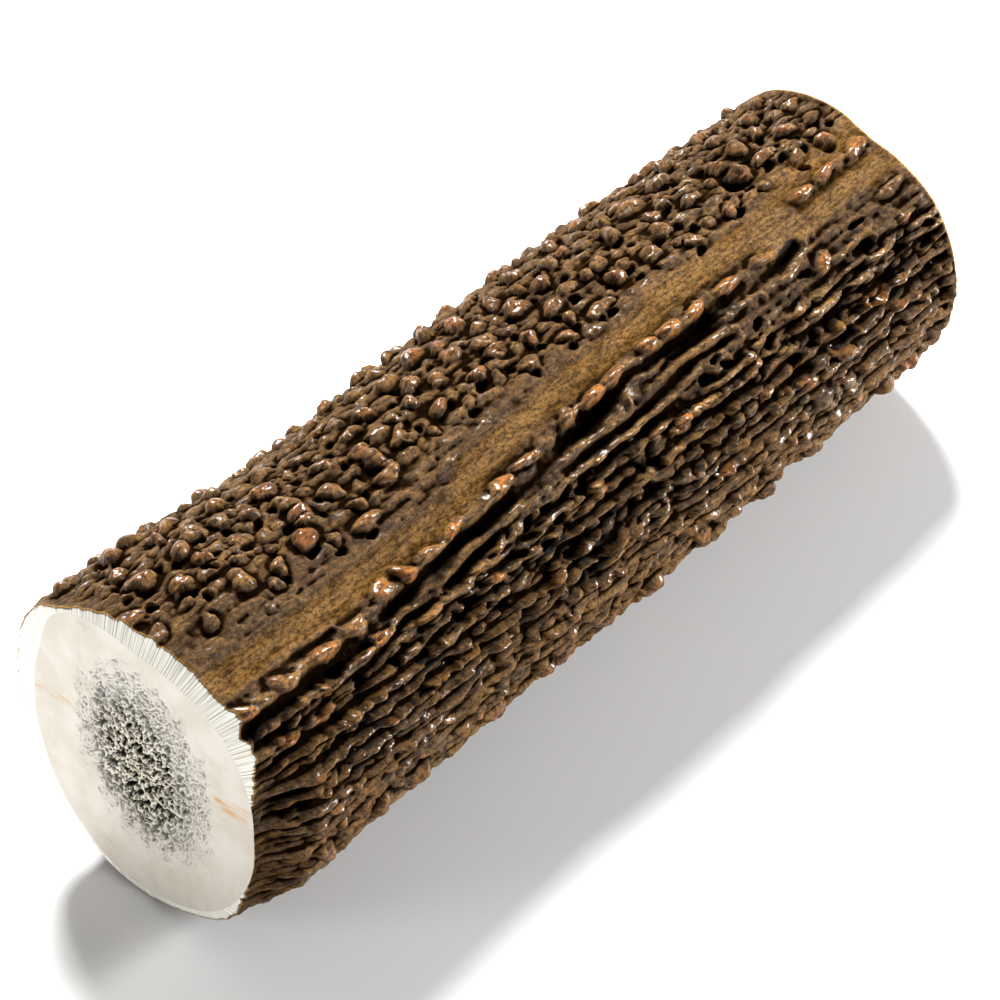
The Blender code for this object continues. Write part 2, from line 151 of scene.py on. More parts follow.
# Each groove is its depth, its half width and its path
GROOVES = (
    (1.5, 0.8, ((-3, 46.5), (21, 46.5), (25, 44), (30, 43), (36, 40), (51, 40), (54, 38), (57, 35),
                (60, 36), (64, 35), (66, 32.5), (70, 33), (84, 33.5), (95, 34), (99, 31))),
    (1.0, 0.6, ((68, 39), (75, 36), (82, 37), (90, 39))),
    (1.0, 0.6, ((2, 51), (14, 53), (22, 53), (27, 50), (35, 49), (44, 46), (54, 44), (66, 44),
                (77, 42), (84, 43))),
    (0.9, 0.6, ((46, 51), (57, 50), (66, 50), (86, 51), (97, 49), (108, 47))),
    (1.0, 0.65, ((4, 59.5), (20, 61), (35, 60), (50, 63), (58, 60), (65, 58.5), (72, 59.5), (87, 62),
                 (96, 60), (106, 62), (118, 60))),
    (1.0, 0.65, ((12, 67), (30, 68), (48, 67), (58, 67), (66, 69.5))),
    (0.9, 0.6, ((-3, 69), (10, 69), (18, 73), (30, 72))),
    (1.0, 0.65, ((-3, 75), (8, 77), (24, 78), (40, 77), (46, 76), (61, 72), (70, 73), (84, 74))),
    (1.0, 0.6, ((78, 70), (99, 71), (107, 70), (118, 72))),
    (0.9, 0.6, ((2, 82), (10, 84), (24, 85), (40, 83), (58, 81), (74, 80), (92, 82), (108, 80))),
    (0.5, 0.45, ((-3, 37.5), (18, 37.5))),
    (1.0, 0.7, ((99.5, -17), (101, -9), (100, 0))),
)
GROOVE_LIP, GROOVE_LIP_AT = 0.2, 1.9  # height in shares of the depth, place in half widths
GROOVE_WAVER, GROOVE_WIDTH_CELL, GROOVE_DEPTH_CELL = 0.45, (3, 3), (4.5, 4)
PIT_SIZE = (2.2, 1.2, 0.9)
PITS = (
    (23, 58.5), (35, 57), (34, 61.5), (47, 54), (56, 53), (51.5, 55.5), (52, 69), (62, 71), (68.5, 71),
    (77, 70), (86.5, 57.5), (92, 58.5), (95, 62), (101, 58), (104, 59), (112, 57), (116, 62), (61, 32.5),
    (108, 39), (38, 64), (27, 65), (17, 57), (72, 64), (80, 46), (88, 45), (98, 42), (66, 63),
)
SEED = 27

# The fine skin mesh: strips of it as (first angle, last angle, steps round), and steps along
STRIPS = {
    "antler_skin_pearls": (-64.0, 30.0, 156),
    "antler_skin_ridges": (30.0, 126.0, 158),
    "antler_skin_underside": (126.0, 296.0, 130),
}
RIM_STEPS, RIM_REACH = 26, 4.0
BODY_STEPS = 560

# The sawn faces, in millimetres from the middle of the beam: +Y is the second number, up is the third
CORE_MIDDLE, CORE_HALF_SIZE, CORE_TILT = (-1.0, 0.6), (9.8, 14.2), 7.0
DARK_MIDDLE, DARK_HALF_SIZE, DARK_TILT = (-0.2, -0.6), (5.6, 8.6), 12.0
FACE_SPOKES = 460
CORE_RINGS, RIM_RINGS = (0.004, 0.86, 150), (0.875, 1.0, 9)  # first and last share of the radius, count
FINE_PORE_GAP, FINE_PORE_DEPTH = 0.42, 0.3
WIDE_PORE_GAP, WIDE_PORE_DEPTH = 0.85, 1.6
PORE_REACH = 19.0
PORE_JITTER, PORE_SIZES, PORE_FLATNESS, PORE_RADIUS = 0.42, (0.45, 1.0), 1.45, 0.62  # shares of the gap
RUST_STREAKS = (((15.5, 2.2), (10.0, 2.9)), ((-11.5, 2.9), (-16.0, 3.7)), ((-12.5, 2.0), (-15.5, 2.4)))
RUST_HALF_WIDTH = 0.45
STAINS = (((7.3, 17.0), 1.1), ((5.2, -16.0), 1.3))

# The camera, as it stood to the beam
VIEW_AZIMUTH, VIEW_ELEVATION = -49.25, 44.86
VIEW_DISTANCE, VIEW_LENS, SENSOR = 0.7, 224.9, 36.0
AIM_RIGHT, AIM_UP = -0.57, -2.04
LIGHT_DISTANCE, WORLD_STRENGTH = 0.9, 0.22
FLOOR_SIZE, FLOOR_GREY, FLOOR_WHITE = 4, (0.84, 0.84, 0.84), (0.87, 0.87, 0.87)


def noise(along, round_, cell, seed):
    """Smooth random values from -1 to 1 in cells of a size in millimetres, closed round the beam."""
    cell_along, cell_round = cell
    cells = max(3, int(round(360 * ARC / cell_round)))
    rows = int(LENGTH / cell_along) + 8
    lattice = np.random.default_rng(seed).uniform(-1, 1, (rows, cells))
    s = np.clip(along / cell_along + 3, 0, rows - 2)
    t = (round_ % 360) / 360 * cells
    i, j = np.floor(s).astype(int), np.floor(t).astype(int)
    fs, ft = s - i, t - j
    fs, ft = fs * fs * (3 - 2 * fs), ft * ft * (3 - 2 * ft)
    j, k = j % cells, (j + 1) % cells
    low = lattice[i, j] * (1 - ft) + lattice[i, k] * ft
    high = lattice[i + 1, j] * (1 - ft) + lattice[i + 1, k] * ft
    return low * (1 - fs) + high * fs


def rise(value, low, high):
    """0 below low, 1 above high, and a smooth step between."""
    t = np.clip((value - low) / (high - low), 0, 1)
    return t * t * (3 - 2 * t)


def turn(degrees):
    """The same direction, as an angle from -180 to 180."""
    return (degrees + 180) % 360 - 180


def zone(round_, start, end):
    """1 inside a band round the beam, falling to 0 over its edges."""
    middle, half = (start + end) / 2, (end - start) / 2
    return 1 - rise(np.abs(turn(round_ - middle)), half - ZONE_EDGE / 2, half + ZONE_EDGE / 2)


def distance_to_path(along, round_, path):
    """Distance in millimetres from each point to a line of (along, round) corners."""
    nearest = np.full(along.shape, 1e3)
    for (a0, r0), (a1, r1) in zip(path, path[1:]):
        across = turn(round_ - r0) * ARC
        span = np.array((a1 - a0, turn(r1 - r0) * ARC))
        t = np.clip(((along - a0) * span[0] + across * span[1]) / (span @ span), 0, 1)
        nearest = np.minimum(nearest, np.hypot(along - a0 - t * span[0], across - t * span[1]))
    return nearest


def domes(along, round_, spots, size, seed):
    """Oval domes of uneven outline: their height, the moats round them, and a random tone for each."""
    rng = np.random.default_rng(seed)
    height, moat, tone = np.zeros(along.shape), np.zeros(along.shape), np.zeros(along.shape)
    for a, r in spots:
        length, width, tall = np.array(size) * rng.uniform(*SIZE_SPREAD, 3)
        tilt, first, second = rng.normal(0, TILT_SPREAD), rng.uniform(0, 6), rng.uniform(0, 6)
        shade = (0.37 * a + 0.61 * r) % 1
        da, dr = along - a, turn(round_ - r) * ARC
        near = (np.abs(da) < length) & (np.abs(dr) < length)
        p = (da[near] * np.cos(tilt) + dr[near] * np.sin(tilt)) / (length / 2)
        q = (dr[near] * np.cos(tilt) - da[near] * np.sin(tilt)) / (width / 2)
        angle = np.arctan2(q, p)
        waves = OUTLINE_WAVES[0] * np.sin(2 * angle + first), OUTLINE_WAVES[1] * np.sin(3 * angle + second)
        away = np.hypot(p, q) / (1 + waves[0] + waves[1])
        dome = tall * np.clip(1 - away * away, 0, 1) ** DOME_POWER
        tone[near] = np.where(dome > height[near], shade, tone[near])
        height[near] = np.maximum(height[near], dome)
        moat[near] = np.maximum(moat[near], np.exp(-(((away - MOAT_AT) / MOAT_HALF_WIDTH) ** 2)))
    return height, moat, tone


def scattered(taken, start, end, gap, seed):
    """Places for more spots between two angles, clear of the ones there are."""
    rng = np.random.default_rng(seed)
    places = list(taken)
    for _ in range(SCATTER_TRIES):
        a, r = rng.uniform(3, LENGTH - 2), rng.uniform(start, end)
        gaps = [np.hypot(a - b, turn(r - s) * ARC) for b, s in places]
        if min(gaps) > gap:
            places.append((a, r))
    return tuple(places[len(taken):])


def valleys(along, round_, cell, seed):
    """Rounded lumps from 0 to 1 with sharp valleys where they meet."""
    return np.abs(noise(along, round_, cell, seed)) ** VALLEY_POWER


def ridge_field(along, round_):
    """Long ridges that wander, join and break into beads, with sharp valleys between them."""
    wander = WIDE_WANDER * noise(along, round_, WIDE_WANDER_CELL, SEED + 1)
    wander += FINE_WANDER * noise(along, round_, FINE_WANDER_CELL, SEED + 2)
    crest = np.abs(np.sin(np.pi * ((round_ % 360) * ARC + wander) / RIDGE_PITCH)) ** CREST_POWER
    lumps = valleys(along, round_, LUMP_CELL, SEED + 3)
    small = valleys(along, round_, SMALL_LUMP_CELL, SEED + 9)
    return CREST_SHARE * crest + LUMP_SHARE * lumps + SMALL_LUMP_SHARE * small - FIELD_MIDDLE


def skin_ground(along, round_, bent_along, bent_round):
    """Height of the ridges, the ground between the pearls and the grain, and where that ground is."""
    around = round_ % 360
    share = 1 - (1 - SIDE_RIDGE_SHARE) * rise(around, *SIDE_FROM)
    share -= (SIDE_RIDGE_SHARE - UNDER_RIDGE_SHARE) * rise(around, *UNDER_FROM)
    ridged = zone(round_, RIDGE_FROM, RIDGE_TO)
    height = RIDGE_HEIGHT * share * ridged * ridge_field(bent_along, bent_round)
    ground = (1 - SMALL_GROUND_SHARE) * valleys(bent_along, bent_round, GROUND_CELL, SEED + 12)
    ground += SMALL_GROUND_SHARE * valleys(bent_along, bent_round, SMALL_GROUND_CELL, SEED + 13)
    pearled = zone(round_, PEARL_FROM, PEARL_TO)
    beside = zone(round_, PEARL_TO, EDGE_TO) * (1 - pearled)
    height += pearled * (GROUND_LEVEL + GROUND_HEIGHT * (ground - 0.5))
    height += EDGE_GROUND * beside * (ground - 0.5)
    height += UNDULATION * noise(along, round_, UNDULATION_CELL, SEED + 4)
    height += WRINKLE_HEIGHT * noise(along, round_, WRINKLE_CELL, SEED + 5)
    height += FIBRE_HEIGHT * noise(along, round_, FIBRE_CELL, SEED + 11)
    height += GRAIN_HEIGHT * noise(along, round_, GRAIN_CELL, SEED + 16)
    return height, pearled, beside


def with_grooves(height, along, round_, bent_along, bent_round):
    """The height with the long grooves cut into it, each with a low lip, and how deep they are."""
    groove = np.zeros(along.shape)
    for depth, half_width, path in GROOVES:
        width = half_width * (1 + GROOVE_WAVER * noise(along, round_, GROOVE_WIDTH_CELL, SEED + 14))
        away = distance_to_path(bent_along, bent_round, path) / width
        uneven = np.clip(0.75 + noise(along, round_, GROOVE_DEPTH_CELL, SEED + 6), 0.1, 1.35)
        cut = depth * uneven * np.exp(-away * away)
        height += GROOVE_LIP * depth * np.exp(-((away - GROOVE_LIP_AT) ** 2) * 2) - cut
        groove = np.maximum(groove, cut)
    return height, groove


def with_channels(height, along, bent_round):
    """The height with the smooth channels pressed into it, and where they are."""
    smooth = np.zeros(along.shape)
    for path, half_width, depth in (
        (CHANNEL, CHANNEL_HALF_WIDTH, CHANNEL_DEPTH),
        (SECOND_CHANNEL, SECOND_HALF_WIDTH, SECOND_DEPTH),
    ):
        inside = np.exp(-((distance_to_path(along, bent_round, path) / half_width) ** 4))
        height = height * (1 - CHANNEL_SMOOTHING * inside) - depth * inside
        smooth = np.maximum(smooth, inside)
    return height, smooth


def bead_rows(along, round_, bent_along, bent_round):
    """The low uneven walls that the rows of beads stand on, from 0 to about 1."""
    row = np.zeros(along.shape)
    for path in (BEAD_ROW[:-FAR_ROW_COUNT], BEAD_ROW[-FAR_ROW_COUNT:]):
        away = distance_to_path(bent_along, bent_round, path) / ROW_HALF_WIDTH
        uneven = ROW_HEIGHT + ROW_HEIGHT * noise(along, round_, ROW_CELL, SEED + 15)
        row = np.maximum(row, uneven * np.exp(-away * away))
    return row


def bumps_and_pits(along, round_):
    """Heights of the pearls, beads and moats, depth of the pits, and a random tone for each bump."""
    fill = scattered(BIG_PEARLS + MIDDLE_PEARLS, PEARL_FROM, PEARL_TO, SCATTER_GAP, SEED)
    taken = BIG_PEARLS + MIDDLE_PEARLS + SMALL_PEARLS + fill
    close = scattered(taken, PEARL_FROM, PEARL_TO, CLOSE_GAP, SEED + 41)
    holes = scattered(taken + close, PEARL_FROM, PEARL_TO, HOLE_GAP, SEED + 42)
    little_beads = scattered(LOOSE_BEADS + PITS, RIDGE_FROM, BUSY_TO, LITTLE_BEAD_GAP, SEED + 44)
    little_pits = scattered(LOOSE_BEADS + little_beads, RIDGE_FROM, BUSY_TO, LITTLE_PIT_GAP, SEED + 45)
    shaded = [(a + SHADE_HOLE_ALONG, r + SHADE_HOLE_ROUND) for a, r in (taken + close)[::2]]

    beads, moats, tone = domes(along, round_, BEAD_ROW + LOOSE_BEADS, BEAD_SIZE, SEED + 30)
    little, _, little_tone = domes(along, round_, little_beads, LITTLE_BEAD, SEED + 46)
    tone = np.where(little > beads, 0.5 * little_tone, tone)
    beads = np.maximum(beads, little)
    moats, pearls = 0.5 * moats, np.zeros(along.shape)
    crowds = (
        (BIG_PEARLS, BIG_PEARL), (MIDDLE_PEARLS, MIDDLE_PEARL), (fill, MIDDLE_PEARL), (EDGE_KNOBS, KNOB),
        (SMALL_PEARLS, SMALL_PEARL), (close, SMALL_PEARL),
    )
    for seed, (spots, size) in enumerate(crowds, SEED + 31):
        dome, moat, shade = domes(along, round_, spots, size, seed)
        tone = np.where(dome > np.maximum(pearls, beads), shade, tone)
        pearls, moats = np.maximum(pearls, dome), np.maximum(moats, moat)

    pits = domes(along, round_, PITS, PIT_SIZE, SEED + 40)[0]
    hollows = ((holes, HOLE_SIZE), (shaded, SHADE_HOLE), (little_pits, LITTLE_PIT))
    for seed, (spots, size) in enumerate(hollows, SEED + 47):
        pits = np.maximum(pits, domes(along, round_, spots, size, seed)[0])
    return pearls, beads, moats, pits, tone


def relief(along, round_):
    """Height of the skin over the plain beam in millimetres, and masks of what it is made of."""
    round_ = turn(round_)
    bent_along = along + BEND_ALONG * noise(along, round_, BEND_CELL, SEED + 7)
    bent_round = round_ + BEND_ROUND / ARC * noise(along, round_, BEND_CELL, SEED + 8)

    height, pearled, beside = skin_ground(along, round_, bent_along, bent_round)
    height, groove = with_grooves(height, along, round_, bent_along, bent_round)
    height, smooth = with_channels(height, along, bent_round)
    row = bead_rows(along, round_, bent_along, bent_round)
    height += ROW_HEIGHT * row

    pearls, beads, moats, pits, tone = bumps_and_pits(bent_along, bent_round)
    raised = np.maximum(pearls, beads)
    pits = pits * (raised < 0.25)
    height += raised - pits - MOAT_DEPTH * moats * (raised < 0.1)
    masks = {
        "pearl": np.clip(pearls, 0, 1.2),
        "bead": np.clip(np.maximum(beads / BEAD_SIZE[2], ROW_HEIGHT * row), 0, 1),
        "tone": tone,
        "smooth": smooth,
        "pearled": pearled,
        "beside": beside,
        "busy": zone(round_, *DARK_BAND),
        "groove": np.clip(groove + pits, 0, 1.5),
    }
    return height, masks


def plain_radius(along, round_):
    """Radius of the beam under its relief: a taper, an oval near end, and dips beside the near face."""
    radius = np.interp(along, np.linspace(0, LENGTH, len(RADII)), RADII)
    oval = OVAL * np.clip(1 - along / OVAL_ENDS_AT, 0, 1)
    radius = radius + oval * np.cos(2 * np.radians(round_ - OVAL_SIDE))
    for depth, side, half_angle, reach in DIPS:
        share = 1 - rise(np.abs(turn(round_ - side)), 0.3 * half_angle, half_angle)
        radius = radius - depth * share * (1 - rise(along, 0, reach))
    return radius


def face_radius(round_, outline):
    """Radius of a sawn face's outline at each angle, its corners rounded off."""
    angles, radii = zip(*outline)
    steps = (-6, -3, 0, 3, 6)
    return sum(np.interp(turn(round_ + step), angles, radii, period=360) for step in steps) / len(steps)


def axis_height(along):
    """Height of the beam's middle over what it lies on, so that its underside is level."""
    return plain_radius(along, np.full(np.shape(along), 180.0)) + AXIS_LIFT


def to_space(along, round_, radius):
    """Points in metres, from places along and round the beam and a distance from its middle."""
    angle = np.radians(round_)
    y = -radius * np.sin(angle)
    z = np.maximum(axis_height(along) + radius * np.cos(angle), 0)
    return np.stack((along - LENGTH / 2, y, z), axis=-1) * MM


def round_angles():
    """Angles of the lengthwise lines of the skin for each of its strips, which share their edges."""
    return [np.linspace(start, end, count + 1) for start, end, count in STRIPS.values()]


def ring_places():
    """Places of the rings along the beam, closer together at the rims."""
    near = np.linspace(0, RIM_REACH, RIM_STEPS, endpoint=False)
    body = np.linspace(RIM_REACH, LENGTH - RIM_REACH / 2, BODY_STEPS, endpoint=False)
    far = np.linspace(LENGTH - RIM_REACH / 2, LENGTH, RIM_STEPS // 2)
    return np.concatenate((near, body, far))


def blurred(values, passes):
    """Values on the skin's grid, evened out along and round it."""
    for _ in range(passes):
        ends = np.concatenate((values[:1], values, values[-1:]))
        values = (ends[:-2] + 2 * values + ends[2:]) / 4
        values = (np.roll(values, 1, 1) + 2 * values + np.roll(values, -1, 1)) / 4
    return values


def grid_mesh(name, points, masks, places, normals=None, closed=False, flip=False):
    """A mesh of quads over a grid of points, with its masks as attributes and places on it as its UV map."""
    rows, columns = points.shape[:2]
    index = np.arange(rows * columns).reshape(rows, columns)
    nexts = np.roll(index, -1, 1) if closed else index[:, 1:]
    here = index if closed else index[:, :-1]
    quads = np.stack((here[:-1], nexts[:-1], nexts[1:], here[1:]), -1).reshape(-1, 4)
    if flip:
        quads = quads[:, ::-1]
    mesh = bpy.data.meshes.new(name)
    mesh.from_pydata(points.reshape(-1, 3).tolist(), [], quads.tolist())
    for mask, values in masks.items():
        kind, field = ("FLOAT_VECTOR", "vector") if values.ndim == 3 else ("FLOAT", "value")
        attribute = mesh.attributes.new(mask, kind, "POINT")
        attribute.data.foreach_set(field, values.astype(np.float32).ravel())
    bake_map = mesh.uv_layers.new(name="OFBake")
    bake_map.data.foreach_set("uv", places.reshape(-1, 2)[quads.ravel()].astype(np.float32).ravel())
    mesh.shade_smooth()
    if normals is not None:
        mesh.normals_split_custom_set_from_vertices(normals.reshape(-1, 3).tolist())
    obj = bpy.data.objects.new(name, mesh)
    bpy.context.scene.collection.objects.link(obj)
    return obj


def grid_normals(points):
    """Directions out of the skin at each point of its grid, which is closed round its second side."""
    lengthwise = np.gradient(points, axis=0)
    rounds = np.roll(points, -1, 1) - np.roll(points, 1, 1)
    normals = np.cross(rounds, lengthwise)
    return normals / np.linalg.norm(normals, axis=-1, keepdims=True)


def make_skin():
    """The skin as strips of one grid, so that each strip stays light and their edges meet."""
    strips = round_angles()
    angles = np.concatenate([strip[:-1] for strip in strips])
    along, round_ = np.meshgrid(ring_places(), angles, indexing="ij")
    height, masks = relief(along, round_)
    from_rim = np.minimum(along / NEAR_FILED_REACH, (LENGTH - along) / FAR_FILED_REACH)
    height *= FILED_RELIEF + (1 - FILED_RELIEF) * rise(from_rim, 0, 1)
    radius = plain_radius(along, round_) + height
    near_cut = face_radius(round_, NEAR_FACE) + NEAR_BEVEL * along
    far_cut = face_radius(round_, FAR_FACE) + FAR_BEVEL * (LENGTH - along)
    cut = np.minimum(near_cut, far_cut)
    masks["sawn"] = np.clip(radius - cut, -1.5, 1.5)
    # How far the skin lies below its surroundings: the skin material paints shade with these, and pales the
    # crests
    masks["crease"] = blurred(height, 8) - height
    masks["hollow"] = blurred(height, 40) - height
    points = to_space(along, round_, np.minimum(radius, cut))
    normals = grid_normals(points)
    pieces, first = [], 0
    for name, strip in zip(STRIPS, strips):
        columns = np.arange(first, first + len(strip)) % len(angles)
        first += len(strip) - 1
        own = {mask: values[:, columns] for mask, values in masks.items()}
        own["unrolled"] = np.stack(np.broadcast_arrays(along[:, :1], strip * ARC, 0.0), -1)
        share = (strip - strip[0]) / (strip[-1] - strip[0])
        places = np.stack(np.broadcast_arrays(along[:, :1] / LENGTH, share), -1)
        pieces.append(grid_mesh(name, points[:, columns], own, places, normals[:, columns]))
    return pieces


def oval_distance(y, z, middle, half_size, tilt):
    """Distance from the middle of a tilted oval, 1 on its edge."""
    c, s = math.cos(math.radians(tilt)), math.sin(math.radians(tilt))
    dy, dz = y - middle[0], z - middle[1]
    return np.hypot((dy * c - dz * s) / half_size[0], (dz * c + dy * s) / half_size[1])


def cells(y, z, gap, seed, low, high):
    """Rounded holes in a jittered grid of cells, from 0 outside them to 1 in their middles."""
    rng = np.random.default_rng(seed)
    count = int(2 * PORE_REACH / gap)
    jitter = rng.uniform(-PORE_JITTER, PORE_JITTER, (count, count, 2)) * gap
    size = rng.uniform(*PORE_SIZES, (count, count))
    turned = rng.uniform(0, np.pi, (count, count))
    i, j = np.floor((y + PORE_REACH) / gap).astype(int), np.floor((z + PORE_REACH) / gap).astype(int)
    depth = np.zeros(y.shape)
    for di in (-1, 0, 1):
        for dj in (-1, 0, 1):
            a, b = np.clip(i + di, 0, count - 1), np.clip(j + dj, 0, count - 1)
            dy = y + PORE_REACH - (a + 0.5) * gap - jitter[a, b, 0]
            dz = z + PORE_REACH - (b + 0.5) * gap - jitter[a, b, 1]
            c, s = np.cos(turned[a, b]), np.sin(turned[a, b])
            radius = gap * PORE_RADIUS * size[a, b]
            away = np.hypot(dy * c + dz * s, PORE_FLATNESS * (dz * c - dy * s)) / radius
            depth = np.maximum(depth, 1 - rise(away, low, high))
    return depth


def unevenness(y, z):
    """Waves that make the edge of the porous core ragged."""
    return 0.08 * np.sin(y * 2.1 + 1.3 * np.sin(z * 1.7)) + 0.06 * np.sin(z * 3.1 + 2 * np.sin(y * 1.9))


def make_face(name, end, outline, seed):
    """A sawn face: flat, with real pores in its core."""
    turns = np.linspace(-180, 180, FACE_SPOKES, endpoint=False)
    rim = face_radius(turns, outline)
    shares = np.concatenate((np.linspace(*CORE_RINGS), np.linspace(*RIM_RINGS)))
    radius = shares[:, None] * rim[None, :]
    angle = np.radians(turns)[None, :]
    y, z = -radius * np.sin(angle), radius * np.cos(angle)
    ragged = unevenness(y, z)
    dark = oval_distance(y, z, DARK_MIDDLE, DARK_HALF_SIZE, DARK_TILT) + ragged
    core = oval_distance(y, z, CORE_MIDDLE, CORE_HALF_SIZE, CORE_TILT) + ragged
    wide = cells(y, z, WIDE_PORE_GAP, seed, 0.6, 1.05) * (1 - rise(dark, 0.75, 1.35))
    fine = cells(y, z, FINE_PORE_GAP, seed + 5, 0.5, 1.05) * (1 - rise(core, 0.65, 1.12))
    depth = WIDE_PORE_DEPTH * wide + FINE_PORE_DEPTH * fine
    inward = 1 if end == 0 else -1
    height = float(axis_height(np.array([float(end)]))[0])
    points = np.stack((end + inward * depth - LENGTH / 2, y, z + height), -1) * MM
    rust = np.zeros(y.shape)
    for (y0, z0), (y1, z1) in RUST_STREAKS:
        dy, dz = y1 - y0, z1 - z0
        t = np.clip(((y - y0) * dy + (z - z0) * dz) / (dy * dy + dz * dz), 0, 1)
        away = np.hypot(y - y0 - t * dy, z - z0 - t * dz) / RUST_HALF_WIDTH
        rust = np.maximum(rust, np.exp(-away * away))
    stain = sum(np.exp(-(((y - a) ** 2 + (z - b) ** 2) / size**2)) for (a, b), size in STAINS)
    masks = {
        "pore": np.maximum(wide, 0.6 * fine),
        "dark": 1 - rise(dark, 0.3, 1.3),
        "core": 1 - rise(core, 0.6, 1.15),
        "rust": rust,
        "stain": np.clip(stain, 0, 1),
    }
    places = np.stack((y, z), -1) / (2 * rim.max()) + 0.5
    return grid_mesh(name, points, masks, places, closed=True, flip=end != 0)


class Nodes:
    """Short calls for building one material's node tree."""

    def __init__(self, name):
        self.material = bpy.data.materials.new(name)
        self.material.use_nodes = True
        self.tree = self.material.node_tree
        self.shader = self.tree.nodes["Principled BSDF"]
        self.place = self.tree.nodes.new("ShaderNodeTexCoord").outputs["Object"]

    def put(self, socket, value):
        if isinstance(value, bpy.types.NodeSocket):
            self.tree.links.new(value, socket)
        elif isinstance(value, tuple) and len(value) == 3 and socket.type == "RGBA":
            socket.default_value = (*value, 1)
        else:
            socket.default_value = value

    def mask(self, name):
        node = self.tree.nodes.new("ShaderNodeAttribute")
        node.attribute_name = name
        return node.outputs["Fac"]

    def figure(self, operation, first, second):
        node = self.tree.nodes.new("ShaderNodeMath")
        node.operation = operation
        self.put(node.inputs[0], first)
        self.put(node.inputs[1], second)
        return node.outputs[0]

    def times(self, first, second):
        return self.figure("MULTIPLY", first, second)

    def larger(self, first, second):
        return self.figure("MAXIMUM", first, second)

    def plus(self, first, second):
        return self.figure("ADD", first, second)

    def minus(self, first, second):
        return self.figure("SUBTRACT", first, second)

    def step(self, value, low, high, to_low=0.0, to_high=1.0):
        node = self.tree.nodes.new("ShaderNodeMapRange")
        node.interpolation_type = "SMOOTHSTEP"
        for socket, given in zip(node.inputs, (value, low, high, to_low, to_high)):
            self.put(socket, given)
        return node.outputs[0]

    def mix(self, share, first, second):
        node = self.tree.nodes.new("ShaderNodeMix")
        node.data_type = "RGBA"
        self.put(node.inputs[0], share)
        self.put(node.inputs[6], first)
        self.put(node.inputs[7], second)
        return node.outputs[2]

    def vector(self, name):
        node = self.tree.nodes.new("ShaderNodeAttribute")
        node.attribute_name = name
        return node.outputs["Vector"]

    def noise(self, size_mm, detail, roughness=0.55, stretch=(1, 1, 1), place=None):
        """Noise of a grain size in millimetres, stretched out along the axes whose factor is under 1."""
        node = self.tree.nodes.new("ShaderNodeMapping")
        self.put(node.inputs["Vector"], place or self.place)
        unit = 1 if place else 1000
        node.inputs["Scale"].default_value = [unit * factor / size_mm for factor in stretch]
        grain = self.tree.nodes.new("ShaderNodeTexNoise")
        self.put(grain.inputs["Vector"], node.outputs[0])
        grain.inputs["Scale"].default_value = 1
        grain.inputs["Detail"].default_value = detail
        grain.inputs["Roughness"].default_value = roughness
        return grain.outputs["Fac"]

    def bump(self, height, distance_mm, after=None):
        node = self.tree.nodes.new("ShaderNodeBump")
        node.inputs["Strength"].default_value = 1.0
        node.inputs["Distance"].default_value = distance_mm * MM
        self.put(node.inputs["Height"], height)
        if after:
            self.put(node.inputs["Normal"], after)
        return node.outputs[0]


NEAR_BLACK = (0.004, 0.002, 0.001)
DARK_BROWN = (0.03, 0.0135, 0.004)
BROWN = (0.14, 0.064, 0.014)
TAN = (0.36, 0.18, 0.045)
PALE_TAN = (0.32, 0.17, 0.05)
RED_BROWN = (0.36, 0.11, 0.02)
GREY_BROWN = (0.055, 0.038, 0.021)
AMBER = (0.5, 0.16, 0.012)
RUST = (0.5, 0.25, 0.06)
IVORY = (0.5, 0.455, 0.375)
WHITE_BONE = (0.57, 0.53, 0.465)
FILED_BONE = (0.9, 0.88, 0.8)
CORE_GREY = (0.5, 0.49, 0.465)
KHAKI = (0.62, 0.57, 0.39)
OLIVE = (0.2, 0.18, 0.09)
PORE_DARK = (0.006, 0.005, 0.003)


